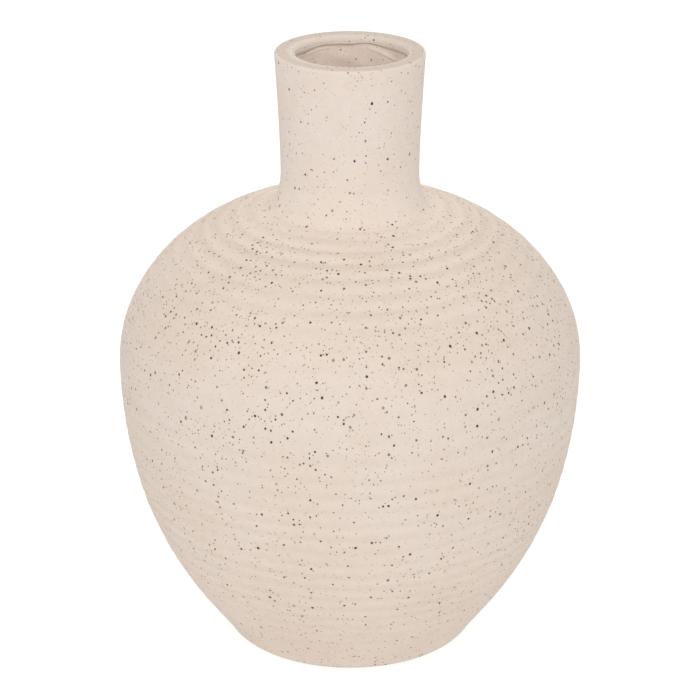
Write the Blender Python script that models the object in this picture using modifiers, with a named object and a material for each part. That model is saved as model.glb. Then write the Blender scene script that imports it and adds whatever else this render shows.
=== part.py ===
"""Speckled stoneware bottle vase, as the clay sections that are thrown and luted together.

Units are metres, +Z is up, and the origin is the centre of the foot on the standing surface.
Every section is a turned ring (the base is a turned dish). Neighbouring sections meet in a
scored luting joint: the upper one has a V-shaped tongue, the lower one the matching groove.
"""

import math

import bpy
from mathutils import Vector

# Whole vase
HEIGHT = 0.340
WALL = 0.007
STEPS = 48

# Base and foot
FOOT_RADIUS = 0.0639
FOOT_EDGE_ROUND = 0.0086
FOOT_WALL_SLOPE = math.radians(60.4)
FLOOR_TOP = 0.009
FLOOR_FLAT_RADIUS = 0.050
FLOOR_BLEND_HEIGHT = 0.022
RECESS_RADIUS = 0.051
RECESS_DEPTH = 0.0025
RECESS_EDGE = 0.0025

# Belly and shoulder
BELLY_RADIUS = 0.1289
BELLY_HEIGHT = 0.1648
LOWER_FULLNESS = 0.0181
LOWER_BELLY_FULLNESS = 0.1006
UPPER_BELLY_FULLNESS = 0.0409
SHOULDER_FULLNESS = 0.0477
SHOULDER_RADIUS = 0.0464
SHOULDER_HEIGHT = 0.2521
SHOULDER_SLOPE = math.radians(11.7)

# Neck and lip
NECK_RADIUS = 0.0380
NECK_HEIGHT = 0.2713
NECK_BLEND = 0.0060
NECK_FULLNESS_SHARE = 1.0 / 3.0
NECK_FLARE_SHARE = 0.45
NECK_BORE = 0.0332
NECK_BORE_ROUND = 0.0045
MOUTH_RADIUS = 0.0409
MOUTH_BORE = 0.0308
LIP_OUTER_ROUND = 0.0024
LIP_INNER_ROUND = 0.0035
LIP_EDGE_HEIGHT = 0.3356

# Luting joints: where each one crosses the outside of the wall, and its V
BASE_JOINT_HEIGHT = 0.040
LOWER_JOINT_HEIGHT = 0.150
UPPER_JOINT_HEIGHT = 0.208
RIM_JOINT_HEIGHT = 0.3342
JOINT_DEPTH = 0.0025
RIM_JOINT_DEPTH = 0.0020
SLIP_GAP = 0.0003
ABOVE = 1
BELOW = -1

# Fired clay, as linear colour and roughness
BODY_COLOUR = (0.79, 0.68, 0.58)
LIP_COLOUR = (0.74, 0.64, 0.55)
CLAY_ROUGHNESS = 0.9

UP = Vector((0.0, 1.0))
HALVINGS = 40


def direction(angle):
    """Unit vector in the (radius, height) plane, at an angle up from outwards."""
    return Vector((math.cos(angle), math.sin(angle)))


def bezier(curve, t):
    a, b, c, d = curve
    s = 1.0 - t
    return s**3 * a + 3.0 * s * s * t * b + 3.0 * s * t * t * c + t**3 * d


def bezier_direction(curve, t):
    a, b, c, d = curve
    s = 1.0 - t
    slope = s * s * (b - a) + 2.0 * s * t * (c - b) + t * t * (d - c)
    return slope.normalized()


def wall_point(curve, t, inset=0.0):
    """Point on an outer wall curve, or that far inside the clay."""
    along = bezier_direction(curve, t)
    return bezier(curve, t) + inset * Vector((-along.y, along.x))


def wall_points(curve, start, end, count, inset=0.0):
    step = (end - start) / (count - 1)
    return [wall_point(curve, start + step * i, inset) for i in range(count)]


def parameter_at(curve, height):
    """Parameter where a rising curve reaches a height, by halving."""
    low = 0.0
    high = 1.0
    for _ in range(HALVINGS):
        middle = 0.5 * (low + high)
        if bezier(curve, middle).y < height:
            low = middle
        else:
            high = middle
    return 0.5 * (low + high)


def arc(centre, radius, start, end, count):
    """Points along a round, at evenly spaced angles."""
    turn = (end - start) / (count - 1)
    return [centre + radius * direction(start + turn * i) for i in range(count)]


def blend(start, corner, end, count):
    """Points along a smooth turn from start to end that leans on a corner."""
    points = []
    for i in range(count):
        t = i / (count - 1)
        points.append((1 - t) ** 2 * start + 2 * t * (1 - t) * corner + t * t * end)
    return points


# Outer wall curves, each from its lower end to its upper end
FOOT_TURN_CENTRE = Vector((FOOT_RADIUS, FOOT_EDGE_ROUND))
FOOT_TURN_END = FOOT_WALL_SLOPE - math.pi / 2.0
WALL_FOOT = FOOT_TURN_CENTRE + FOOT_EDGE_ROUND * direction(FOOT_TURN_END)
BELLY = Vector((BELLY_RADIUS, BELLY_HEIGHT))
SHOULDER = Vector((SHOULDER_RADIUS, SHOULDER_HEIGHT))
SHOULDER_RISE = direction(math.pi - SHOULDER_SLOPE)
NECK_ROOT = Vector((NECK_RADIUS, NECK_HEIGHT))
NECK_TOP = Vector((MOUTH_RADIUS, HEIGHT - LIP_OUTER_ROUND))
NECK_FLARE = NECK_TOP - NECK_ROOT
LOWER_CURVE = (
    WALL_FOOT,
    WALL_FOOT + LOWER_FULLNESS * direction(FOOT_WALL_SLOPE),
    BELLY - LOWER_BELLY_FULLNESS * UP,
    BELLY,
)
UPPER_CURVE = (
    BELLY,
    BELLY + UPPER_BELLY_FULLNESS * UP,
    SHOULDER - SHOULDER_FULLNESS * SHOULDER_RISE,
    SHOULDER,
)
COLLAR_CURVE = (
    SHOULDER,
    SHOULDER + NECK_BLEND * SHOULDER_RISE,
    NECK_ROOT - NECK_BLEND * UP,
    NECK_ROOT,
)
NECK_CURVE = (
    NECK_ROOT,
    NECK_ROOT + NECK_FULLNESS_SHARE * NECK_FLARE.y * UP,
    NECK_TOP - Vector((NECK_FLARE_SHARE * NECK_FLARE.x, NECK_FULLNESS_SHARE * NECK_FLARE.y)),
    NECK_TOP,
)
BASE_JOINT = parameter_at(LOWER_CURVE, BASE_JOINT_HEIGHT)
LOWER_JOINT = parameter_at(LOWER_CURVE, LOWER_JOINT_HEIGHT)
UPPER_JOINT = parameter_at(UPPER_CURVE, UPPER_JOINT_HEIGHT)
RIM_JOINT = parameter_at(NECK_CURVE, RIM_JOINT_HEIGHT)


def wall_joint(curve, t, side):
    """The V of a luting joint through the wall, from the outside in, on one side of the slip."""
    along = bezier_direction(curve, t)
    shift = 0.5 * side * SLIP_GAP * along
    return [
        wall_point(curve, t) + shift,
        wall_point(curve, t, 0.5 * WALL) - JOINT_DEPTH * along + shift,
        wall_point(curve, t, WALL) + shift,
    ]


def rim_joint(side):
    """The V between neck and rim, from the outside in."""
    shift = 0.5 * side * SLIP_GAP * UP
    outside = wall_point(NECK_CURVE, RIM_JOINT)
    inside = Vector((NECK_BORE, RIM_JOINT_HEIGHT))
    middle = 0.5 * (outside + inside) - RIM_JOINT_DEPTH * UP
    return [outside + shift, middle + shift, inside + shift]


def between(curve, start, end, count, inset=0.0):
    """Wall points strictly inside a stretch, where a joint already holds its ends."""
    return wall_points(curve, start, end, count + 2, inset)[1:-1]


def wall_ring(outside, bottom_joint, inside, top_joint):
    """Closed outline of a wall ring; the sides are given upwards and the joints from outside in."""
    return outside[::-1] + bottom_joint + inside + top_joint[::-1]


def base_outline():
    """Floor, foot and the lowest wall; both ends are on the axis."""
    blend_start = parameter_at(LOWER_CURVE, FLOOR_BLEND_HEIGHT)
    wall_start = wall_point(LOWER_CURVE, blend_start, WALL)
    fall = bezier_direction(LOWER_CURVE, blend_start)
    corner = wall_start - (wall_start.y - FLOOR_TOP) / fall.y * fall
    floor_edge = Vector((FLOOR_FLAT_RADIUS, FLOOR_TOP))
    foot_turn = arc(FOOT_TURN_CENTRE, FOOT_EDGE_ROUND, FOOT_TURN_END, -math.pi / 2.0, 5)
    return (
        [Vector((0.0, FLOOR_TOP))]
        + blend(floor_edge, corner, wall_start, 5)
        + wall_joint(LOWER_CURVE, BASE_JOINT, BELOW)[::-1]
        + between(LOWER_CURVE, 0.0, BASE_JOINT, 3)[::-1]
        + foot_turn
        + [
            Vector((RECESS_RADIUS, 0.0)),
            Vector((RECESS_RADIUS - RECESS_EDGE, RECESS_DEPTH)),
            Vector((0.0, RECESS_DEPTH)),
        ]
    )


def lower_wall_outline():
    return wall_ring(
        between(LOWER_CURVE, BASE_JOINT, LOWER_JOINT, 8),
        wall_joint(LOWER_CURVE, BASE_JOINT, ABOVE),
        between(LOWER_CURVE, BASE_JOINT, LOWER_JOINT, 8, WALL),
        wall_joint(LOWER_CURVE, LOWER_JOINT, BELOW),
    )


def belly_side(inset):
    """One side of the belly, upwards through its widest point."""
    widest = [wall_point(LOWER_CURVE, 1.0, inset)]
    below = between(LOWER_CURVE, LOWER_JOINT, 1.0, 1, inset)
    above = between(UPPER_CURVE, 0.0, UPPER_JOINT, 5, inset)
    return below + widest + above


def belly_outline():
    return wall_ring(
        belly_side(0.0),
        wall_joint(LOWER_CURVE, LOWER_JOINT, ABOVE),
        belly_side(WALL),
        wall_joint(UPPER_CURVE, UPPER_JOINT, BELOW),
    )


def shoulder_outline():
    return wall_ring(
        between(UPPER_CURVE, UPPER_JOINT, 1.0, 7),
        wall_joint(UPPER_CURVE, UPPER_JOINT, ABOVE),
        between(UPPER_CURVE, UPPER_JOINT, 1.0, 7, WALL),
        wall_joint(UPPER_CURVE, 1.0, BELOW),
    )


def neck_outline():
    """Collar, slightly flared tube and the rounded edge where the bore opens into the body."""
    bottom = wall_joint(UPPER_CURVE, 1.0, ABOVE)
    roof = bottom[-1]
    corner = roof + (roof.x - NECK_BORE) / -SHOULDER_RISE.x * SHOULDER_RISE
    bore_edge = blend(
        corner - NECK_BORE_ROUND * SHOULDER_RISE, corner, corner + NECK_BORE_ROUND * UP, 5
    )
    outside = between(COLLAR_CURVE, 0.0, 1.0, 4) + wall_points(NECK_CURVE, 0.0, RIM_JOINT, 5)[:-1]
    return outside[::-1] + bottom + bore_edge + rim_joint(BELOW)[::-1]


def rim_outline():
    """Thick lip, rounded on top, that overhangs the bore and is undercut below."""
    outer_centre = Vector((MOUTH_RADIUS - LIP_OUTER_ROUND, HEIGHT - LIP_OUTER_ROUND))
    inner_centre = Vector((MOUTH_BORE + LIP_INNER_ROUND, HEIGHT - LIP_INNER_ROUND))
    outer_round = arc(outer_centre, LIP_OUTER_ROUND, math.pi / 2.0, 0.0, 4)
    inner_round = arc(inner_centre, LIP_INNER_ROUND, math.pi, math.pi / 2.0, 5)
    return outer_round + rim_joint(ABOVE) + [Vector((MOUTH_BORE, LIP_EDGE_HEIGHT))] + inner_round


def new_collection(name):
    collection = bpy.data.collections.new(name)
    bpy.context.scene.collection.children.link(collection)
    return collection


def clay(name, colour):
    """Fired clay: matte and without metal."""
    material = bpy.data.materials.new(name)
    material.use_nodes = True
    shader = material.node_tree.nodes["Principled BSDF"]
    shader.inputs["Base Color"].default_value = (*colour, 1.0)
    shader.inputs["Roughness"].default_value = CLAY_ROUGHNESS
    shader.inputs["Metallic"].default_value = 0.0
    return material


def turned(name, outline, colour, collection):
    """Turn an outline in the (radius, height) plane once around the vertical axis.

    An outline that starts on the axis also ends there; any other is a closed loop.
    """
    count = len(outline)
    edges = [(i, i + 1) for i in range(count - 1)]
    if outline[0].x > 0.0:
        edges.append((count - 1, 0))
    mesh = bpy.data.meshes.new(name)
    mesh.from_pydata([(point.x, 0.0, point.y) for point in outline], edges, [])
    mesh.materials.append(clay(name + "_clay", colour))
    piece = bpy.data.objects.new(name, mesh)
    collection.objects.link(piece)
    screw = piece.modifiers.new("Turning", "SCREW")
    screw.axis = "Z"
    screw.angle = 2.0 * math.pi
    screw.steps = STEPS
    screw.render_steps = STEPS
    screw.use_merge_vertices = True
    screw.merge_threshold = 0.00005
    screw.use_smooth_shade = True
    return piece


def build():
    for leftover in list(bpy.data.objects):
        bpy.data.objects.remove(leftover, do_unlink=True)
    vase = new_collection("stoneware_vase")
    turned("base", base_outline(), BODY_COLOUR, vase)
    turned("lower_wall", lower_wall_outline(), BODY_COLOUR, vase)
    turned("belly", belly_outline(), BODY_COLOUR, vase)
    turned("shoulder", shoulder_outline(), BODY_COLOUR, vase)
    turned("neck", neck_outline(), BODY_COLOUR, vase)
    turned("rim", rim_outline(), LIP_COLOUR, vase)


build()
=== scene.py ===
"""Looks of the speckled stoneware bottle vase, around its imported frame. Metres, +Z up."""

import math

import bpy
import numpy as np
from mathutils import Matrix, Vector


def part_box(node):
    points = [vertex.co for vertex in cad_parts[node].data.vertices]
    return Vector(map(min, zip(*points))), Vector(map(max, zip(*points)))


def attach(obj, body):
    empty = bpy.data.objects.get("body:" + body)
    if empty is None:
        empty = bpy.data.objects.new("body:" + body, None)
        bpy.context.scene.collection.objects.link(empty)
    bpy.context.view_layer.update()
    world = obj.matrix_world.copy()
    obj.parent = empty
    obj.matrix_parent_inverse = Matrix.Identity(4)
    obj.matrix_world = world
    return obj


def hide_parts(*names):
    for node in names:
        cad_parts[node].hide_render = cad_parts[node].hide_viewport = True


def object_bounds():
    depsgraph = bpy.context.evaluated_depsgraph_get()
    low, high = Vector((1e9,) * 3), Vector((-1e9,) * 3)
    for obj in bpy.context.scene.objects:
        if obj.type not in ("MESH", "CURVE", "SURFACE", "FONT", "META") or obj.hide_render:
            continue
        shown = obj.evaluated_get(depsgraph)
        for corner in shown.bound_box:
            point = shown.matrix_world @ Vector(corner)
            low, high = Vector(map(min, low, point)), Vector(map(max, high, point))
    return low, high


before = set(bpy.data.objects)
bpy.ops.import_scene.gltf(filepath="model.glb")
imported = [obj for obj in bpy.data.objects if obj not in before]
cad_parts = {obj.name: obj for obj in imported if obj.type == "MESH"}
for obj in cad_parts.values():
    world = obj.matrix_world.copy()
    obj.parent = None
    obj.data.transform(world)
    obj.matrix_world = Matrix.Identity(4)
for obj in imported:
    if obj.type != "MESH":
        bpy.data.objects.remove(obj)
cad_low, cad_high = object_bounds()

# Places and sizes from the frame
HEIGHT = cad_high.z
BELLY_RADIUS = 0.5 * (cad_high.x - cad_low.x)
rim_low, rim_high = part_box("rim")
MOUTH_RADIUS = 0.5 * (rim_high.x - rim_low.x)

# Outer wall, as in the frame's solids
WALL = 0.007
FOOT_RADIUS = 0.0639
FOOT_EDGE_ROUND = 0.0086
FOOT_WALL_SLOPE = math.radians(60.4)
BELLY_HEIGHT = 0.1648
LOWER_FULLNESS = 0.0181
LOWER_BELLY_FULLNESS = 0.1006
UPPER_BELLY_FULLNESS = 0.0409
SHOULDER_FULLNESS = 0.0477
SHOULDER_RADIUS = 0.0464
SHOULDER_HEIGHT = 0.2521
SHOULDER_SLOPE = math.radians(11.7)
NECK_RADIUS = 0.0380
NECK_HEIGHT = 0.2713
NECK_BLEND = 0.0060
NECK_FULLNESS_SHARE = 1.0 / 3.0
NECK_FLARE_SHARE = 0.45
NECK_BORE = 0.0332
NECK_BORE_ROUND = 0.0045
MOUTH_BORE = 0.0308
LIP_OUTER_ROUND = 0.0013
LIP_INNER_ROUND = 0.0013
LIP_BACK_ROUND = 0.0026
FLOOR_TOP = 0.009
FLOOR_FLAT_RADIUS = 0.050
FLOOR_BLEND_HEIGHT = 0.022
RECESS_RADIUS = 0.051
RECESS_DEPTH = 0.0025
RECESS_EDGE = 0.0025
RECESS_PROFILE = ((0.3, 0.8), (0.8, 0.1), (1.0, 0.0))
FLOOR_BLEND_FALL = 0.009
FLOOR_BLEND_RUN = 0.007

# Luting joints: heights on the outside of the wall, and the V in the clay
BASE_JOINT_HEIGHT = 0.040
LOWER_JOINT_HEIGHT = 0.150
UPPER_JOINT_HEIGHT = 0.208
RIM_JOINT_HEIGHT = 0.3342
JOINT_DEPTH = 0.0025
RIM_JOINT_DEPTH = 0.0020
SLIP_GAP = 0.0003
ABOVE = 1
BELOW = -1

# Mesh fineness
AROUND = 360
OUTSIDE_STEP = 0.0006
INSIDE_STEP = 0.004
CURVE_SAMPLES = 400
FOOT_SAMPLES = 40
LIP_SAMPLES = 24
FLOOR_BLEND_ROWS = 14
FLOOR_STEP = 0.0012
FLOOR_CENTRE = 0.002
LIP_TOP_ROWS = 12
LIP_ROUND_ROWS = 13
LIP_FACE_ROWS = 10
RIDGE_ROWS = 10
NECK_FINE_ROWS = 70
NECK_COARSE_ROWS = 34
NECK_FINE_END = 0.32
NECK_COARSE_START = 0.33
NECK_BEND_ROWS = 12

# Throwing rings, by distance up the wall from the foot: the valleys between them
FOOT_VALLEYS = (0.0350, 0.0091, 4)
LOWER_VALLEYS = (0.0710, 0.0090, 11)
MIDDLE_VALLEYS = (0.1725, 0.0125, 5)
SHOULDER_VALLEYS = (0.2337, 0.01018, 8)
COLLAR_VALLEY = (0.3163, 0.0, 1)
RING_SOFTNESS = 0.0005
# The tone softness, peak places, collar fall and steady share set the painted light and shade on the rings
TONE_SOFTNESS = 0.0009
UPPER_BODY = 0.225
SHOULDER_PEAK = 0.28
LOWER_PEAK = 0.68
COLLAR_FALL = 0.15
RING_STEP = 0.0001
BLUR_REACH = 30
RING_UNEVENNESS = 0.2
STEADY_TONE = 0.4

# Slow unevenness of the walls, and finger marks inside
DRIFT_SIZE = 0.0004
HEIGHT_FADE = 0.15
TONE_FADE = 0.25
SWELL_SIZE = 0.00006
CALM_LENGTH = 0.02
FINGER_MARK = 0.0002
FINGER_PITCH = 0.012

# The lip coil's lower inner edge, which stands out unevenly over the neck's wall
RIDGE_DEPTH = 0.0053
RIDGE_TILT = 0.0002
RIDGE_LOW_SIDE = math.radians(20.0)
RIDGE_LIFTS = ((math.radians(72.0), math.radians(12.0), 0.0010),
               (math.radians(92.0), math.radians(7.0), -0.0005),
               (math.radians(120.0), math.radians(9.0), 0.0005),
               (math.radians(145.0), math.radians(13.0), -0.0011),
               (math.radians(40.0), math.radians(20.0), -0.0006))
RIDGE_WAVER = 0.00010
RIDGE_ROUND = 0.0007
RIDGE_OVERHANG = 0.0009
RIDGE_TUCK = 0.0004
RIDGE_TURN = 0.8 * math.pi
LIP_SAG = 2.5
LIP_WAVER = 0.00008
LIP_FACE_BULGE = 0.0002
MOUTH_TRIM = 0.0003
MOUTH_SHIFT = 0.00095
EDGE_WAVER = 0.0001
EDGE_PLACE = 0.01

# Inside of the neck: lumps, a fold of clay as (angle, depth) ends, and a second edge
NECK_WIDENING = 0.009
WIDENING_DEPTH = 0.004
LUMP_HEIGHT = 0.00022
LUMP_DEPTH = 0.006
LUMP_START = 0.6
BEND_RISE = 0.0012
CREASE_START = (math.radians(75.0), 0.0064)
CREASE_END = (math.radians(42.0), 0.0118)
CREASE_HEIGHT = 0.0004
CREASE_WIDTH = 0.0018
CREASE_EDGE = 0.0008
CREASE_BEND = 0.75
CREASE_TAPER = 5.0
CREASE_LENGTH = 1.1
SECOND_EDGE = 0.0004
SECOND_PLACE = math.radians(132.0)
SECOND_WIDTH = math.radians(18.0)
SECOND_DEPTH = 0.0019
SECOND_THICKNESS = 0.0004

# Underside and floor
UNDERSIDE_STEP = 0.001
TRIM_DEPTH = 0.0003
TRIM_PITCH = 0.0064
FLOOR_RING = 0.0005
FLOOR_PITCH = 0.0095

# Bake maps: share that each band of a piece gets, and how a band is laid out
BASE_SHARES = (0.14, 0.60, 0.02, 0.20)
WALL_SHARES = (0.78, 0.02, 0.18, 0.02)
LIP_SHARES = (0.30, 0.66, 0.04)
NECK_SHARES = (0.70, 0.02, 0.26, 0.02)
SECTOR_CHOICES = (1, 2, 3, 4, 5, 6, 8, 9, 10, 12, 15)
BAKE_GAP = 0.012
CAP_SPOT = 0.004
SHARP_EDGE = math.radians(40.0)

# Clay: soft-edged specks with a stain round them, and the feel of the surface
SPECK_BLUR = 0.00017
SPECK_JITTER = 0.00040
HALO_SIZE = 1.9
HALO_STRENGTH = 0.16
SPECK_SKEW = 2.0
SPECK_OFFSET = (1.0, 0.37, -0.61)
SPECK_STRETCH = (1.0, 1.0, 0.90)
SPECK_RED_CHANCE = (0.90, 1.0)
SPECK_FAINTNESS = (0.0, 0.7, 0.55, 1.0)
CROWD_BY_CLUMP = (0.32, 0.68, 0.55, 1.3)
CROWD_BY_HEIGHT = (0.12, 0.22, 0.62, 1.0)
NECK_ROOT = (0.245, 0.262)
BROAD_RANGE = (0.3, 0.7)
ROUGHNESS = (0.2, 0.8, 0.82, 0.95)
PIT_GLOSS = 0.25
CLAY_SPECULAR = 0.25
CLAY_IOR = 1.5
LINE_STRETCH = (0.06, 0.06, 1.0)
SAND_HEIGHT = 0.00006
SOFT_HEIGHT = 0.00012
LINE_HEIGHT = 0.00003
PIT_DEPTH = 0.00006
BEND_NOISE = (0.0011, 1.0)
CLUMP_NOISE = (0.012, 1.0)
BROAD_NOISE = (0.045, 2.0)
FINE_NOISE = (0.0009, 3.0, 0.65)
SOFT_NOISE = (0.0045, 2.0)
LINE_NOISE = (0.0014, 2.0, 0.6)
# Painted light on the insides: their clay colour made evenly lighter
INSIDE_PAINTED_LIGHT = 1.4
# Painted shade on the lip's up-facing top: a darker tint, fading out towards the mouth's inner face
LIP_TOP_SHADE = (0.865, 0.832, 0.800, 1.0)
LIP_SHADE_START = 0.0004
LIP_SHADE_FULL = 0.0019
MOUTH_UNSHADED = 0.0008
MOUTH_SHADE_REACH = 0.0042

# Studio
FLOOR_HALF = 6.0
FLOOR_DROP = -0.0003
FLOOR_GLOW = 0.80
FLOOR_COLOUR = (0.25, 0.25, 0.25, 1.0)
WHITE = (1.0, 1.0, 1.0, 1.0)
WORLD_STRENGTH = 1.15
FRONT_PLACE = (-0.12, -2.4, 1.15)
FRONT_SIZE = 2.0
FRONT_POWER = 22.0
BACK_PLACE = (0.0, 2.2, 1.3)
BACK_SIZE = 1.2
BACK_POWER = 10.0
SENSOR_WIDTH = 36.0
CAMERA_PLACE = (0.0, -1.400, 0.7346)
CAMERA_PITCH = math.radians(22.10)
CAMERA_LENS = 138.2

rng = np.random.default_rng(7)
THETA = np.linspace(0.0, 2.0 * math.pi, AROUND, endpoint=False)


def direction(angle):
    """Unit vector in the (radius, height) plane."""
    return np.array((math.cos(angle), math.sin(angle)))


def bezier(curve, t):
    """Points on a cubic curve, at shares t of its way."""
    a, b, c, d = curve
    t = np.asarray(t)[..., None]
    s = 1.0 - t
    return s**3 * a + 3.0 * s * s * t * b + 3.0 * s * t * t * c + t**3 * d


def arc(centre, radius, start, end, count):
    """Points round part of a circle."""
    angles = np.linspace(start, end, count)
    return centre + radius * np.stack((np.cos(angles), np.sin(angles)), axis=1)


def outer_curves():
    """Outer wall from the foot to the lip, as (radius, height) points, section after section."""
    up = np.array((0.0, 1.0))
    foot_centre = np.array((FOOT_RADIUS, FOOT_EDGE_ROUND))
    foot_end = FOOT_WALL_SLOPE - math.pi / 2.0
    wall_foot = foot_centre + FOOT_EDGE_ROUND * direction(foot_end)
    belly = np.array((BELLY_RADIUS, BELLY_HEIGHT))
    shoulder = np.array((SHOULDER_RADIUS, SHOULDER_HEIGHT))
    rise = direction(math.pi - SHOULDER_SLOPE)
    root = np.array((NECK_RADIUS, NECK_HEIGHT))
    top = np.array((MOUTH_RADIUS, HEIGHT - LIP_OUTER_ROUND))
    flare = top - root
    t = np.linspace(0.0, 1.0, CURVE_SAMPLES)
    lower = (wall_foot, wall_foot + LOWER_FULLNESS * direction(FOOT_WALL_SLOPE),
             belly - LOWER_BELLY_FULLNESS * up, belly)
    upper = (belly, belly + UPPER_BELLY_FULLNESS * up, shoulder - SHOULDER_FULLNESS * rise, shoulder)
    collar = (shoulder, shoulder + NECK_BLEND * rise, root - NECK_BLEND * up, root)
    neck = (root, root + NECK_FULLNESS_SHARE * flare[1] * up,
            top - flare * (NECK_FLARE_SHARE, NECK_FULLNESS_SHARE), top)
    outer_centre = np.array((MOUTH_RADIUS - LIP_OUTER_ROUND, HEIGHT - LIP_OUTER_ROUND))
    lip = arc(outer_centre, LIP_OUTER_ROUND, 0.0, math.pi / 2.0, LIP_SAMPLES)
    foot = arc(foot_centre, FOOT_EDGE_ROUND, -math.pi / 2.0, foot_end, FOOT_SAMPLES)
    return [foot] + [bezier(c, t)[1:] for c in (lower, upper, collar, neck)] + [lip[1:]]


# The whole outer wall as one path, measured by its length from the foot's flat
PATH = np.concatenate(outer_curves())
PATH_LENGTH = np.concatenate(([0.0], np.cumsum(np.hypot(*np.diff(PATH, axis=0).T))))
PATH_RISE = np.gradient(PATH, PATH_LENGTH, axis=0)
PATH_RISE /= np.hypot(*PATH_RISE.T)[:, None]


def along_path(values, lengths):
    """Values of the outer wall's path, at distances from the foot."""
    return np.stack([np.interp(lengths, PATH_LENGTH, column) for column in values.T], axis=-1)


def wall_point(lengths, inset):
    """(radius, height) that far inside the clay from the wall's outside."""
    rise = along_path(PATH_RISE, lengths)
    inward = np.stack((-rise[..., 1], rise[..., 0]), axis=-1)
    return along_path(PATH, lengths) + np.asarray(inset)[..., None] * inward


def length_at(height):
    """Path length where the outside of the body or neck reaches a height."""
    return float(np.interp(height, PATH[:, 1], PATH_LENGTH))


def valley_places():
    """Distances from the foot to every valley between rings."""
    zones = (FOOT_VALLEYS, LOWER_VALLEYS, MIDDLE_VALLEYS, SHOULDER_VALLEYS, COLLAR_VALLEY)
    return np.array([start + pitch * i for start, pitch, count in zones for i in range(count)])


def ring_strength(length):
    """Height of the rings above their valleys, by place up the wall."""
    places = (0.030, 0.060, 0.074, 0.115, 0.160, 0.195, 0.225, 0.240, 0.262, 0.285, 0.299, 0.312)
    heights = (0.00005, 0.00012, 0.00025, 0.00026, 0.00020, 0.00008,
               0.00014, 0.00026, 0.00044, 0.00052, 0.00046, 0.00026)
    return np.interp(length, places, heights)


def painted_ring_shade_strength(length):
    """How much lighter a ring's flank is painted than its valleys, by place up the wall: painted light and
    shade for the rings' slopes.
    """
    places = (0.030, 0.060, 0.074, 0.130, 0.175, 0.186, 0.222, 0.240, 0.260, 0.280, 0.300, 0.316)
    shares = (0.014, 0.022, 0.027, 0.027, 0.020, 0.010, 0.014, 0.038, 0.046, 0.048, 0.045, 0.036)
    return np.interp(length, places, shares)


def softened(values, softness):
    """Ring table values, blurred along the wall."""
    spread = np.arange(-BLUR_REACH, BLUR_REACH + 1) * RING_STEP
    weights = np.exp(-0.5 * (spread / softness) ** 2)
    return np.convolve(values, weights / weights.sum(), mode="same")


def ring_table():
    """Ring height and painted ring shade along the wall: arches between valleys, a little softened."""
    valleys = valley_places()
    length = np.arange(0.0, PATH_LENGTH[-1], RING_STEP)
    ring = np.clip(np.searchsorted(valleys, length) - 1, 0, len(valleys) - 2)
    share = (length - valleys[ring]) / (valleys[ring + 1] - valleys[ring])
    inside = (share > 0.0) & (share < 1.0)
    uneven = 1.0 + RING_UNEVENNESS * rng.standard_normal(len(valleys))
    height = np.where(inside, 4.0 * share * (1.0 - share), 0.0)
    height *= ring_strength(0.5 * (valleys[ring] + valleys[ring + 1])) * uneven[ring]
    peak = np.where(valleys[ring] > UPPER_BODY, SHOULDER_PEAK, LOWER_PEAK)
    rising = np.clip(share / peak, 0.0, 1.0)
    fall = np.where(ring == len(valleys) - 2, COLLAR_FALL, 1.0 - peak)
    falling = np.clip((1.0 - share) / fall, 0.0, 1.0)
    tone = np.where(inside, 2.0 * np.minimum(rising, falling) - 1.0, 0.0)
    tone *= painted_ring_shade_strength(length) * (STEADY_TONE + (1.0 - STEADY_TONE) * uneven[ring])
    return length, softened(height, RING_SOFTNESS), softened(tone, TONE_SOFTNESS)


def waves(count, most_around, shortest):
    """Random smooth unevenness: waves around the vase and along its wall."""
    around = rng.integers(0, most_around + 1, count)
    along = rng.uniform(-1.0, 1.0, count) * 2.0 * math.pi / shortest
    phase = rng.uniform(0.0, 2.0 * math.pi, count)
    return around, along, phase


def wave_sum(parts, length, theta):
    """Height of such waves at points on the wall, about 1 in size."""
    around, along, phase = parts
    total = sum(np.sin(m * theta + q * length + p) for m, q, p in zip(around, along, phase))
    return total / math.sqrt(len(around))


RING_LENGTH, RING_HEIGHT, RING_PAINTED_SHADE = ring_table()
RIDGE_WAVES = waves(6, 14, 0.05)
LIP_WAVES = waves(6, 9, 0.05)
LUMPS = waves(14, 16, 0.010)
DRIFT = waves(8, 4, 0.09)
SWELL = waves(12, 6, 0.05)
FADE = waves(10, 7, 0.03)


def drifted(length, theta):
    """Places up the wall, moved by the rings' slow wander."""
    return length + DRIFT_SIZE * wave_sum(DRIFT, length, theta)


def relief(length, theta):
    """How far the outside stands off the plain wall."""
    rings = np.interp(drifted(length, theta), RING_LENGTH, RING_HEIGHT)
    rings *= 1.0 + HEIGHT_FADE * wave_sum(FADE, length, theta)
    swell = SWELL_SIZE * wave_sum(SWELL, length, theta)
    from_end = np.minimum(length, PATH_LENGTH[-1] - length)
    return rings + swell * np.clip(from_end / CALM_LENGTH, 0.0, 1.0)


def outside_painted_shade(start, end):
    """Painted light on the rings' front-facing flanks and painted shade in their valleys, for the same
    rows as outside_rows.
    """
    length, theta = outside_grid(start, end)
    tone = np.interp(drifted(length, theta), RING_LENGTH, RING_PAINTED_SHADE)
    return tone * (1.0 + TONE_FADE * wave_sum(FADE, length, theta))


def outside_grid(start, end):
    """Distances and angles of every point of the outside between two distances."""
    count = max(3, int(round((end - start) / OUTSIDE_STEP)) + 1)
    return np.meshgrid(np.linspace(start, end, count), THETA, indexing="ij")


def circle_rows(points):
    """Rows around the axis from (radius, height) points, one or AROUND per row."""
    radius, height = points[..., 0], points[..., 1]
    cos, sin = np.cos(THETA), np.sin(THETA)
    return np.stack((radius * cos, radius * sin, height + 0.0 * THETA), axis=-1)


def outside_rows(start, end):
    """Rows up the outside with its relief, from one path length to another."""
    length, theta = outside_grid(start, end)
    return circle_rows(wall_point(length, -relief(length, theta)))


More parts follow.
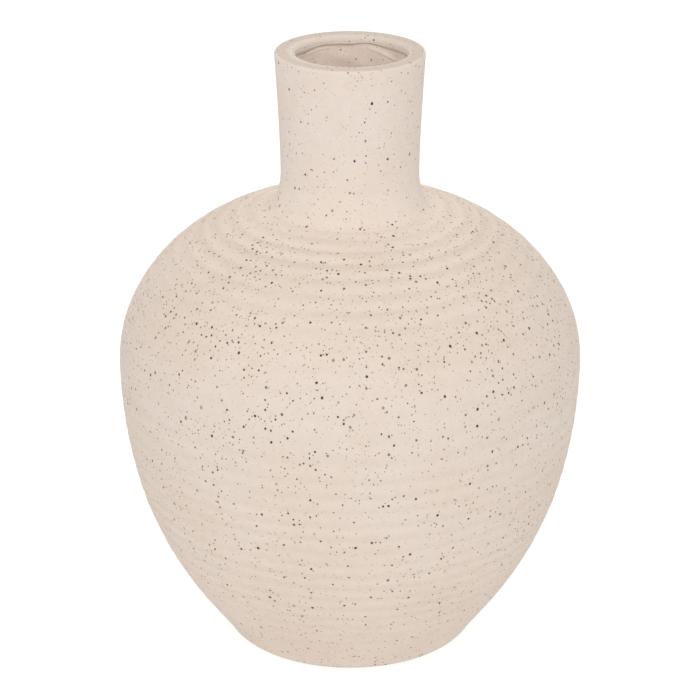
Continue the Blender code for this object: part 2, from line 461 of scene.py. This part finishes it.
def inside_rows(start, end):
    """Rows up the inside, a wall's thickness in, with soft finger marks."""
    count = max(3, int(round((end - start) / INSIDE_STEP)) + 1)
    length, theta = np.meshgrid(np.linspace(start, end, count), THETA, indexing="ij")
    marks = FINGER_MARK * np.sin(2.0 * math.pi * length / FINGER_PITCH + wave_sum(FADE, length, theta))
    marks[0] = marks[-1] = 0.0
    return circle_rows(wall_point(length, WALL + marks))


def linear(red, green, blue):
    """Linear colour from sRGB values out of 255."""
    values = [v / 255.0 for v in (red, green, blue)]
    return tuple(v / 12.92 if v <= 0.04045 else ((v + 0.055) / 1.055) ** 2.4 for v in values) + (1.0,)


CLAY_WARM = linear(205, 191, 178)
CLAY_PALE = linear(208, 196, 185)
CLAY_LIGHT = linear(215, 204, 195)
CLAY_SAND = linear(192, 177, 163)
CLAY_STAIN = linear(176, 152, 131)
CLAY_TINT = linear(210, 191, 172)
SPECK_DARK = linear(76, 55, 40)
SPECK_RED = linear(106, 68, 48)

# Mottling: colour, noise as (size, detail, roughness), its range, and share
MOTTLES = (
    (CLAY_LIGHT, (0.006, 3.0, 0.6), (0.3, 0.7), 0.30),
    (CLAY_TINT, (0.0045, 2.0, 0.6), (0.35, 0.70), 0.26),
    (CLAY_SAND, (0.0006, 2.0, 0.6), (0.25, 0.75), 0.22),
)

# Painted light and shade by height, multiplied into the clay's colour, with the two ends first
PAINTED_LIGHT_BY_HEIGHT = (
    (0.000, (0.965, 0.950, 0.938)),
    (0.340, (0.925, 0.934, 0.955)),
    (0.020, (0.955, 0.935, 0.918)),
    (0.045, (0.930, 0.910, 0.890)),
    (0.070, (0.915, 0.905, 0.890)),
    (0.120, (0.905, 0.905, 0.905)),
    (0.165, (0.895, 0.900, 0.905)),
    (0.200, (0.890, 0.888, 0.888)),
    (0.230, (0.910, 0.900, 0.885)),
    (0.2445, (0.920, 0.905, 0.885)),
    (0.2490, (1.000, 0.985, 0.967)),
    (0.2535, (0.980, 0.978, 0.974)),
    (0.2580, (0.958, 0.960, 0.964)),
    (0.2700, (0.968, 0.977, 0.988)),
    (0.2900, (0.930, 0.936, 0.956)),
)

# Specks: (cell, largest radius, smallest radius, share kept, offset), strength, share left on the neck
SPECK_LAYERS = (
    ((0.0009, 0.00018, 0.00007, 0.62, 0.113), 0.45, 1.00),
    ((0.00118, 0.00031, 0.00014, 0.70, 0.257), 0.82, 1.00),
    ((0.0017, 0.00052, 0.00023, 0.67, 0.391), 0.95, 0.50),
    ((0.0029, 0.00088, 0.00044, 0.65, 0.519), 1.00, 0.26),
)


def plain_rows(points):
    """Even circles through (radius, height) points."""
    return circle_rows(np.asarray(points)[:, None, :])


def joint_rows(length, side):
    """Apex of a luting joint's V, whose edges are the last rows of the outside and inside."""
    rise = along_path(PATH_RISE, length)
    shift = 0.5 * side * SLIP_GAP * rise
    apex = wall_point(length, 0.5 * WALL) - JOINT_DEPTH * rise + shift
    return plain_rows([apex])


def turned_mesh(name, bands, lined, closed):
    """Closed skin over rings of points that run up the outside and down the inside.

    Each band is (rows, share of the bake map, painted ring shade). Bands whose numbers are in lined get
    the second material. Without closed, both ends meet the axis.
    """
    rows = np.concatenate([band for band, _, _ in bands])
    count = len(rows)
    corner = np.arange(count * AROUND).reshape(count, AROUND)
    here = corner if closed else corner[:-1]
    after = np.roll(corner, -1, axis=0) if closed else corner[1:]
    quads = np.stack((here, np.roll(here, -1, axis=1), np.roll(after, -1, axis=1), after), axis=-1)
    faces = quads.reshape(-1, 4).tolist()
    points = rows.reshape(-1, 3).tolist()
    if not closed:
        for ring, turn in ((corner[0], -1), (corner[-1], 1)):
            points.append(rows[0 if turn < 0 else -1].mean(axis=0).tolist())
            pairs = np.stack((ring, np.roll(ring, -1)), axis=1)[:, ::turn]
            faces += [[len(points) - 1, a, b] for a, b in pairs.tolist()]
    mesh = bpy.data.meshes.new(name)
    mesh.from_pydata(points, [], faces)
    mesh.shade_smooth()
    mesh.set_sharp_from_angle(angle=SHARP_EDGE)
    inner = np.repeat([i in lined for i, (band, _, _) in enumerate(bands) for _ in band], AROUND)
    if not closed:
        inner = np.concatenate((inner[:-AROUND], inner[:AROUND], inner[-AROUND:]))
    mesh.polygons.foreach_set("material_index", inner.astype(np.int32))
    tones = np.concatenate([np.zeros(band.shape[:2]) if tone is None else tone for band, _, tone in bands])
    tones = np.concatenate((tones.ravel(), np.zeros(len(points) - tones.size)))
    # Per-point painted ring shade, read by the clay material to lighten flanks and darken valleys
    mesh.attributes.new("ring_painted_shade", "FLOAT", "POINT").data.foreach_set("value", tones.astype(np.float32))
    bake_map(mesh, rows, bands, closed)
    piece = bpy.data.objects.new(name, mesh)
    bpy.context.scene.collection.objects.link(piece)
    return piece


def bake_map(mesh, rows, bands, closed):
    """Lays each band out in sectors, one above another, so that its texels are about square."""
    steps = np.linalg.norm(np.diff(rows, axis=0, append=rows[:1]), axis=2).mean(axis=1)
    length = np.concatenate(([0.0], np.cumsum(steps)))
    starts = np.cumsum([0] + [len(band) for band, _, _ in bands])
    if not closed:
        starts[-1] -= 1
    column = np.arange(AROUND)
    maps = []
    base = 0.0
    for (_, share, _), first, last in zip(bands, starts[:-1], starts[1:]):
        width = 2.0 * math.pi * np.hypot(*rows[first:last, 0, :2].T).mean()
        ideal = math.sqrt(share * width / (length[last] - length[first]))
        sectors = min(SECTOR_CHOICES, key=lambda choice: abs(math.log(choice / ideal)))
        per_sector = AROUND // sectors
        across = (column % per_sector + np.array([[0], [1], [1], [0]])) / per_sector
        up = (length[first:last + 1] - length[first]) / (length[last] - length[first])
        for i in range(last - first):
            rise = np.array([[up[i]], [up[i]], [up[i + 1]], [up[i + 1]]])
            v = base + share * (column // per_sector + BAKE_GAP + (1.0 - 2.0 * BAKE_GAP) * rise) / sectors
            u = BAKE_GAP + (1.0 - 2.0 * BAKE_GAP) * across
            maps.append(np.stack((u.T, v.T), axis=-1).reshape(-1, 2))
        base += share
    if not closed:
        spot = ((0.5 * CAP_SPOT, 1.0), (0.0, 1.0), (CAP_SPOT, 1.0))
        maps += [np.tile(spot, (2 * AROUND, 1))]
    layer = mesh.uv_layers.new(name="OFBake")
    layer.uv.foreach_set("vector", np.concatenate(maps).astype(np.float32).ravel())


def banded(shares, *parts):
    """Bands for turned_mesh, from (rows, painted ring shade) parts and the share of the bake map for each.
    """
    return [(rows, share, tone) for share, (rows, tone) in zip(shares, parts)]


def base_bands():
    """The base: recessed underside, outer wall, joint, and the inside down to the floor's centre."""
    top = length_at(BASE_JOINT_HEIGHT)
    radius = np.arange(UNDERSIDE_STEP, RECESS_RADIUS, UNDERSIDE_STEP)
    trimming = TRIM_DEPTH * np.cos(2.0 * math.pi * radius / TRIM_PITCH) ** 2
    recess = np.stack((radius, RECESS_DEPTH + trimming), axis=1)
    edge = np.array([(RECESS_RADIUS + out * RECESS_EDGE, up * RECESS_DEPTH) for out, up in RECESS_PROFILE])
    blend_top = length_at(FLOOR_BLEND_HEIGHT)
    inner_wall = inside_rows(blend_top, top)[::-1]
    corner = wall_point(blend_top, WALL)
    fall = along_path(PATH_RISE, blend_top)
    flat = np.array((FLOOR_FLAT_RADIUS, FLOOR_TOP))
    curve = (corner, corner - FLOOR_BLEND_FALL * fall, flat + (FLOOR_BLEND_RUN, 0.0), flat)
    blend = bezier(curve, np.linspace(0.0, 1.0, FLOOR_BLEND_ROWS)[1:])
    floor_radius = np.arange(FLOOR_FLAT_RADIUS, FLOOR_CENTRE, -FLOOR_STEP)[1:]
    swirl = FLOOR_RING * (0.5 - 0.5 * np.cos(2.0 * math.pi * floor_radius / FLOOR_PITCH))
    fade = np.clip((FLOOR_FLAT_RADIUS - floor_radius) / FLOOR_PITCH, 0.0, 1.0)
    floor = np.stack((floor_radius, FLOOR_TOP + swirl * fade), axis=1)
    inside = np.concatenate((inner_wall, plain_rows(np.concatenate((blend, floor)))))
    return banded(BASE_SHARES, (plain_rows(np.concatenate((recess, edge))), None),
                  (outside_rows(0.0, top), outside_painted_shade(0.0, top)),
                  (joint_rows(top, BELOW), None), (inside, None))


def wall_bands(bottom, top):
    """A thrown wall section between two joints."""
    return banded(WALL_SHARES, (outside_rows(bottom, top), outside_painted_shade(bottom, top)),
                  (joint_rows(top, BELOW), None), (inside_rows(bottom, top)[::-1], None),
                  (joint_rows(bottom, ABOVE), None))


def dent(angle, place, width):
    """Smooth bump of height 1 round an angle."""
    away = (angle - place + math.pi) % (2.0 * math.pi) - math.pi
    return np.exp(-(away / width) ** 2)


def ridge_depth():
    """Depth below the top of the lip coil's lower inner edge, pressed on unevenly by hand."""
    depth = RIDGE_DEPTH + RIDGE_TILT * np.cos(THETA - RIDGE_LOW_SIDE)
    for place, width, lift in RIDGE_LIFTS:
        depth -= lift * dent(THETA, place, width)
    return depth + RIDGE_WAVER * wave_sum(RIDGE_WAVES, np.zeros(AROUND), THETA)


def ring_of(radius, height):
    """One row with its own radius and height at every angle."""
    return np.stack((radius * np.cos(THETA), radius * np.sin(THETA), height + 0.0 * THETA), axis=-1)


def lip_bands():
    """The lip coil: outside, flat top, upright inside and the uneven lower edge it overhangs with."""
    depth = ridge_depth()
    start = length_at(RIM_JOINT_HEIGHT)
    flat_start = PATH[-1, 0]
    edge = edge_radius()
    inner_round = LIP_INNER_ROUND + LIP_BACK_ROUND * (0.5 + 0.5 * np.sin(THETA))
    sag = LIP_WAVER * (wave_sum(LIP_WAVES, np.zeros(AROUND), THETA) - LIP_SAG)
    rows = []
    for share in np.linspace(0.0, 1.0, LIP_TOP_ROWS)[1:]:
        radius = flat_start + (edge + inner_round - flat_start) * share
        rows.append(ring_of(radius, HEIGHT + sag * share))
    for turn in np.linspace(0.0, math.pi / 2.0, LIP_ROUND_ROWS)[1:]:
        radius = edge + inner_round * (1.0 - math.sin(turn))
        rows.append(ring_of(radius, HEIGHT + sag - inner_round * (1.0 - math.cos(turn))))
    face_top = HEIGHT + sag - inner_round
    face_end = HEIGHT - depth + RIDGE_ROUND
    for share in np.linspace(0.0, 1.0, LIP_FACE_ROWS)[1:]:
        belly = LIP_FACE_BULGE * math.sin(math.pi * share)
        rows.append(ring_of(edge - belly, face_top + (face_end - face_top) * share))
    for turn in np.linspace(0.0, RIDGE_TURN, RIDGE_ROWS)[1:]:
        radius = edge + RIDGE_ROUND * (1.0 - math.cos(turn))
        rows.append(ring_of(radius, HEIGHT - depth + RIDGE_ROUND * (1.0 - math.sin(turn))))
    hidden = wall_point(start, 0.5 * WALL) + (0.0, 0.5 * SLIP_GAP - RIM_JOINT_DEPTH)
    outside = (outside_rows(start, PATH_LENGTH[-1]), outside_painted_shade(start, PATH_LENGTH[-1]))
    return banded(LIP_SHARES, outside, (off_centre(np.array(rows)), None), (plain_rows([hidden]), None))


def off_centre(rows):
    """Moves the mouth a little sideways, less and less towards the lip's outer edge."""
    radius = np.hypot(rows[..., 0], rows[..., 1])
    share = np.clip((PATH[-1, 0] - radius) / (PATH[-1, 0] - MOUTH_BORE), 0.0, 1.0)
    moved = rows.copy()
    moved[..., 0] += MOUTH_SHIFT * share
    return moved


def edge_radius():
    """How far the mouth reaches, all round."""
    return MOUTH_BORE - MOUTH_TRIM + EDGE_WAVER * wave_sum(LIP_WAVES, np.full(AROUND, EDGE_PLACE), THETA)


def crease(depth):
    """How far the fold that runs down round the inside of the neck stands out, at a depth."""
    share = (THETA - CREASE_START[0]) / (CREASE_END[0] - CREASE_START[0])
    fall = (CREASE_END[1] - CREASE_START[1]) * np.maximum(share, 0.0) ** CREASE_BEND
    from_ends = np.minimum(share, CREASE_LENGTH - share)
    length = np.clip(CREASE_TAPER * from_ends, 0.0, 1.0)
    away = depth - CREASE_START[1] - fall
    roll = np.where(away < 0.0, np.exp(-(away / CREASE_WIDTH) ** 2),
                    np.exp(-(away / CREASE_EDGE) ** 2))
    return CREASE_HEIGHT * length * roll


def neck_bands(bottom):
    """The neck: outside, hidden joint under the lip coil, lumpy inside, and joint on the shoulder."""
    top = length_at(RIM_JOINT_HEIGHT)
    ridge = ridge_depth()
    start = HEIGHT - ridge + RIDGE_TUCK
    tucked = edge_radius() + RIDGE_OVERHANG
    second_edge = SECOND_EDGE * dent(THETA, SECOND_PLACE, SECOND_WIDTH)
    lower = wall_point(bottom, WALL)
    slope = direction(math.pi - SHOULDER_SLOPE)
    corner = lower + slope * (lower[0] - NECK_BORE - NECK_BORE_ROUND) / -slope[0]
    bend_top = corner[1] + NECK_BORE_ROUND
    shares = np.concatenate((np.linspace(0.0, NECK_FINE_END, NECK_FINE_ROWS),
                             np.linspace(NECK_COARSE_START, 1.0, NECK_COARSE_ROWS)))
    rows = []
    for t in shares:
        height = start + (bend_top - start) * t
        depth = HEIGHT - height
        widen = 1.0 - np.exp(-(depth - WIDENING_DEPTH) / NECK_WIDENING)
        radius = tucked + (NECK_BORE - MOUTH_BORE - RIDGE_OVERHANG) * widen
        lumps = LUMP_HEIGHT * wave_sum(LUMPS, depth, THETA)
        lumps *= np.clip(depth / LUMP_DEPTH - LUMP_START, 0.0, 1.0)
        second = second_edge * np.exp(-((depth - ridge - SECOND_DEPTH) / SECOND_THICKNESS) ** 2)
        rows.append(ring_of(radius + lumps - crease(depth) - second, height))
    rows.reverse()
    bend = bezier((lower, corner, (NECK_BORE, corner[1] + BEND_RISE), (NECK_BORE, bend_top)),
                  np.linspace(0.0, 1.0, NECK_BEND_ROWS)[:-1])
    inside = np.concatenate((plain_rows(bend), rows))[::-1]
    hidden = wall_point(top, 0.5 * WALL) + (0.0, -0.5 * SLIP_GAP - RIM_JOINT_DEPTH)
    return banded(NECK_SHARES, (outside_rows(bottom, top), outside_painted_shade(bottom, top)),
                  (plain_rows([hidden]), None), (off_centre(inside), None),
                  (joint_rows(bottom, ABOVE), None))


class Nodes:
    """Adds shader nodes to a material, with inputs given as values or as sockets."""

    def __init__(self, tree):
        self.tree = tree

    def add(self, kind, inputs, **settings):
        """Any shader node, with its inputs and settings."""
        node = self.tree.nodes.new("ShaderNode" + kind)
        for name, value in settings.items():
            setattr(node, name, value)
        for name, value in inputs.items():
            if isinstance(value, bpy.types.NodeSocket):
                self.tree.links.new(value, node.inputs[name])
            else:
                node.inputs[name].default_value = value
        return node

    def math(self, operation, *values):
        """A sum on numbers."""
        return self.add("Math", dict(enumerate(values)), operation=operation).outputs[0]

    def vector(self, operation, first, second):
        """A sum on two vectors, or on a vector and its scale."""
        inputs = {0: first}
        inputs["Scale" if operation == "SCALE" else 1] = second
        return self.add("VectorMath", inputs, operation=operation).outputs[0]

    def noise(self, place, size, detail, roughness=0.5):
        """Noise with features of about a size in metres."""
        inputs = {"Vector": place, "Scale": 1.0 / size, "Detail": detail, "Roughness": roughness}
        return self.add("TexNoise", inputs).outputs

    def between(self, value, start, end, low=0.0, high=1.0, smooth=True):
        """Low up to the start, high from the end, and blended in between."""
        inputs = {"Value": value, "From Min": start, "From Max": end, "To Min": low, "To Max": high}
        kind = "SMOOTHSTEP" if smooth else "LINEAR"
        return self.add("MapRange", inputs, interpolation_type=kind).outputs[0]

    def mix(self, share, first, second, blend="MIX"):
        """Two colours, with that share of the second."""
        inputs = {0: share, 6: first, 7: second}
        return self.add("Mix", inputs, data_type="RGBA", blend_type=blend).outputs[2]


def specks(nodes, place, layer, crowd):
    """One size of iron speck: grains of random size, some missing. Gives mask, halo and tint."""
    cell, largest, smallest, kept, offset = layer
    shifted = nodes.vector("ADD", place, tuple(offset * way for way in SPECK_OFFSET))
    grain = nodes.add("TexVoronoi", {"Vector": shifted, "Scale": 1.0 / cell}, feature="F1")
    chance = nodes.add("SeparateColor", {0: grain.outputs["Color"]}).outputs
    away = nodes.math("MULTIPLY", grain.outputs["Distance"], cell)
    skewed = nodes.math("POWER", chance[0], SPECK_SKEW)
    radius = nodes.math("MULTIPLY_ADD", skewed, largest - smallest, smallest)
    inner = nodes.math("SUBTRACT", radius, SPECK_BLUR)
    present = nodes.math("LESS_THAN", chance[1], nodes.math("MULTIPLY", crowd, kept))
    mask = nodes.math("MULTIPLY", nodes.between(away, radius, inner), present)
    wide = nodes.math("MULTIPLY", radius, HALO_SIZE)
    halo = nodes.math("MULTIPLY", nodes.between(away, wide, inner), present)
    return mask, halo, chance[2]


def clay(name, painted_lightness=1.0, lip_top_shade=None):
    """Matt, slightly sandy buff stoneware with iron specks, under painted ring shade, painted light and
    shade by height, an even painted lightness when one is given, and painted shade darkening a lip's top.
    """
    material = bpy.data.materials.new(name)
    material.use_nodes = True
    nodes = Nodes(material.node_tree)
    shader = nodes.tree.nodes["Principled BSDF"]
    place = nodes.add("TexCoord", {}).outputs["Object"]
    jitter = nodes.vector("SUBTRACT", nodes.noise(place, *BEND_NOISE)["Color"], (0.5, 0.5, 0.5))
    bent = nodes.vector("ADD", place, nodes.vector("SCALE", jitter, SPECK_JITTER))
    grain_place = nodes.vector("MULTIPLY", bent, SPECK_STRETCH)
    clumps = nodes.between(nodes.noise(place, *CLUMP_NOISE)["Fac"], *CROWD_BY_CLUMP)
    height = nodes.add("SeparateXYZ", {0: place}).outputs["Z"]
    body_crowd = nodes.math("MULTIPLY", clumps, nodes.between(height, *CROWD_BY_HEIGHT))

    # Colour: mottled clay, sandy grain, then halos and specks
    broad = nodes.between(nodes.noise(place, *BROAD_NOISE)["Fac"], *BROAD_RANGE)
    colour = nodes.mix(broad, CLAY_WARM, CLAY_PALE)
    for mottle, noise, span, share in MOTTLES:
        amount = nodes.between(nodes.noise(place, *noise)["Fac"], *span)
        colour = nodes.mix(nodes.math("MULTIPLY", amount, share), colour, mottle)
    pits = None
    for layer, strength, on_neck in SPECK_LAYERS:
        crowd = nodes.math("MULTIPLY", body_crowd, nodes.between(height, *NECK_ROOT, 1.0, on_neck))
        mask, halo, tint = specks(nodes, grain_place, layer, crowd)
        shade = nodes.mix(nodes.between(tint, *SPECK_RED_CHANCE), SPECK_DARK, SPECK_RED)
        fainter = nodes.between(tint, *SPECK_FAINTNESS, smooth=False)
        colour = nodes.mix(nodes.math("MULTIPLY", halo, HALO_STRENGTH), colour, CLAY_STAIN)
        colour = nodes.mix(nodes.math("MULTIPLY", nodes.math("MULTIPLY", mask, fainter), strength),
                           colour, shade)
        pits = mask if pits is None else nodes.math("MAXIMUM", pits, mask)
    # Painted ring shade: the rings' flanks made lighter and their valleys darker in the colour
    ring = nodes.add("Attribute", {}, attribute_name="ring_painted_shade").outputs["Fac"]
    ring = nodes.math("ADD", ring, 1.0)
    colour = nodes.vector("SCALE", colour, ring)
    # Painted light and shade by height: bands up the vase made lighter or darker in the colour
    painted_height_ramp = nodes.add("ValToRGB", {0: nodes.between(height, 0.0, HEIGHT, smooth=False)})
    ramp = painted_height_ramp.color_ramp
    ramp.interpolation = "B_SPLINE"
    for i, (at, tone) in enumerate(PAINTED_LIGHT_BY_HEIGHT):
        stop = ramp.elements[i] if i < 2 else ramp.elements.new(at / HEIGHT)
        stop.position = at / HEIGHT
        stop.color = tone + (1.0,)
    colour = nodes.mix(1.0, colour, painted_height_ramp.outputs["Color"], "MULTIPLY")
    # Painted light: the whole colour made lighter, used for the insides
    if painted_lightness != 1.0:
        colour = nodes.mix(1.0, colour, (painted_lightness, painted_lightness, painted_lightness, 1.0), "MULTIPLY")
    # Painted shade: the top of the lip made darker, less so on the mouth's inner face
    if lip_top_shade:
        flat_place = nodes.vector("MULTIPLY", place, (1.0, 1.0, 0.0))
        reach = nodes.add("VectorMath", {0: flat_place}, operation="LENGTH").outputs["Value"]
        lip_shade = nodes.between(reach, MOUTH_RADIUS - LIP_SHADE_START, MOUTH_RADIUS - LIP_SHADE_FULL)
        kept = nodes.between(reach, MOUTH_BORE + MOUTH_UNSHADED, MOUTH_BORE + MOUTH_SHADE_REACH)
        lip_shade = nodes.math("MULTIPLY", lip_shade, kept)
        colour = nodes.mix(lip_shade, colour, nodes.mix(1.0, colour, lip_top_shade, "MULTIPLY"))
    nodes.tree.links.new(colour, shader.inputs["Base Color"])

    # Feel: grains of sand, fine turning lines, and specks a little below the surface
    fine = nodes.noise(place, *FINE_NOISE)["Fac"]
    soft = nodes.noise(place, *SOFT_NOISE)["Fac"]
    stretched = nodes.vector("MULTIPLY", place, LINE_STRETCH)
    lines = nodes.noise(stretched, *LINE_NOISE)["Fac"]
    bump = nodes.math("MULTIPLY", fine, SAND_HEIGHT)
    bump = nodes.math("MULTIPLY_ADD", soft, SOFT_HEIGHT, bump)
    bump = nodes.math("MULTIPLY_ADD", lines, LINE_HEIGHT, bump)
    bump = nodes.math("MULTIPLY_ADD", pits, -PIT_DEPTH, bump)
    feel = nodes.add("Bump", {"Strength": 1.0, "Distance": 1.0, "Height": bump})
    nodes.tree.links.new(feel.outputs[0], shader.inputs["Normal"])
    rough = nodes.between(fine, *ROUGHNESS, smooth=False)
    rough = nodes.math("MULTIPLY_ADD", pits, -PIT_GLOSS, rough)
    nodes.tree.links.new(rough, shader.inputs["Roughness"])
    shader.inputs["Specular IOR Level"].default_value = CLAY_SPECULAR
    shader.inputs["IOR"].default_value = CLAY_IOR
    return material


# The six pieces, each in place of its CAD node: node, bands, lined bands, closed, slot
base_joint = length_at(BASE_JOINT_HEIGHT)
lower_joint = length_at(LOWER_JOINT_HEIGHT)
upper_joint = length_at(UPPER_JOINT_HEIGHT)
neck_joint = float(PATH_LENGTH[np.argmin(np.hypot(*(PATH - (SHOULDER_RADIUS, SHOULDER_HEIGHT)).T))])
materials = {slot: clay("stoneware_" + slot) for slot in ("base_clay", "wall_clay", "neck_clay")}
# The rim's clay carries painted shade on the lip's top
materials["rim_clay"] = clay("stoneware_rim_clay_painted_shade", lip_top_shade=LIP_TOP_SHADE)
# The insides get a lighter copy of the clay, as painted light
inside_painted_light_clay = clay("stoneware_inside_painted_light", painted_lightness=INSIDE_PAINTED_LIGHT)
PIECES = (
    ("base", base_bands(), (3,), False, "base_clay"),
    ("lower_wall", wall_bands(base_joint, lower_joint), (2,), True, "wall_clay"),
    ("belly", wall_bands(lower_joint, upper_joint), (2,), True, "wall_clay"),
    ("shoulder", wall_bands(upper_joint, neck_joint), (2,), True, "wall_clay"),
    ("neck", neck_bands(neck_joint), (2,), True, "neck_clay"),
    ("rim", lip_bands(), (), True, "rim_clay"),
)
for node, bands, lined, closed, slot in PIECES:
    piece = turned_mesh("stoneware_" + node, bands, lined, closed)
    piece.data.materials.append(materials[slot])
    piece.data.materials.append(inside_painted_light_clay)
    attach(piece, "root")
    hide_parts(node)

# Studio: pale floor and surroundings, with a large soft light in front and a smaller one behind
floor_mesh = bpy.data.meshes.new("studio_floor")
corners = [(x * FLOOR_HALF, y * FLOOR_HALF, FLOOR_DROP) for x, y in ((-1, -1), (1, -1), (1, 1), (-1, 1))]
floor_mesh.from_pydata(corners, [], [(0, 1, 2, 3)])
floor = bpy.data.objects.new("studio_floor", floor_mesh)
bpy.context.scene.collection.objects.link(floor)
paper = bpy.data.materials.new("studio_paper")
paper.use_nodes = True
paper_shader = paper.node_tree.nodes["Principled BSDF"]
paper_shader.inputs["Base Color"].default_value = FLOOR_COLOUR
paper_shader.inputs["Roughness"].default_value = 1.0
paper_shader.inputs["Specular IOR Level"].default_value = 0.0
paper_shader.inputs["Emission Color"].default_value = WHITE
paper_shader.inputs["Emission Strength"].default_value = FLOOR_GLOW
floor_mesh.materials.append(paper)

world = bpy.data.worlds.new("studio")
bpy.context.scene.world = world
world.use_nodes = True
background = world.node_tree.nodes["Background"]
background.inputs["Color"].default_value = WHITE
background.inputs["Strength"].default_value = WORLD_STRENGTH


def area_light(name, place, size, power, aim):
    """A round soft light turned towards a point."""
    light = bpy.data.lights.new(name, "AREA")
    light.shape = "DISK"
    light.size = size
    light.energy = power
    holder = bpy.data.objects.new(name, light)
    holder.location = place
    holder.rotation_euler = (Vector(aim) - Vector(place)).to_track_quat("-Z", "Y").to_euler()
    bpy.context.scene.collection.objects.link(holder)


middle = (0.0, 0.0, 0.5 * HEIGHT)
area_light("front_light", FRONT_PLACE, FRONT_SIZE, FRONT_POWER, middle)
area_light("back_light", BACK_PLACE, BACK_SIZE, BACK_POWER, middle)

camera = bpy.data.cameras.new("camera")
camera.sensor_width = SENSOR_WIDTH
camera.lens = CAMERA_LENS
holder = bpy.data.objects.new("camera", camera)
holder.location = CAMERA_PLACE
holder.rotation_euler = (math.pi / 2.0 - CAMERA_PITCH, 0.0, 0.0)
bpy.context.scene.collection.objects.link(holder)
bpy.context.scene.camera = holder
bpy.context.scene.view_settings.view_transform = "Standard"
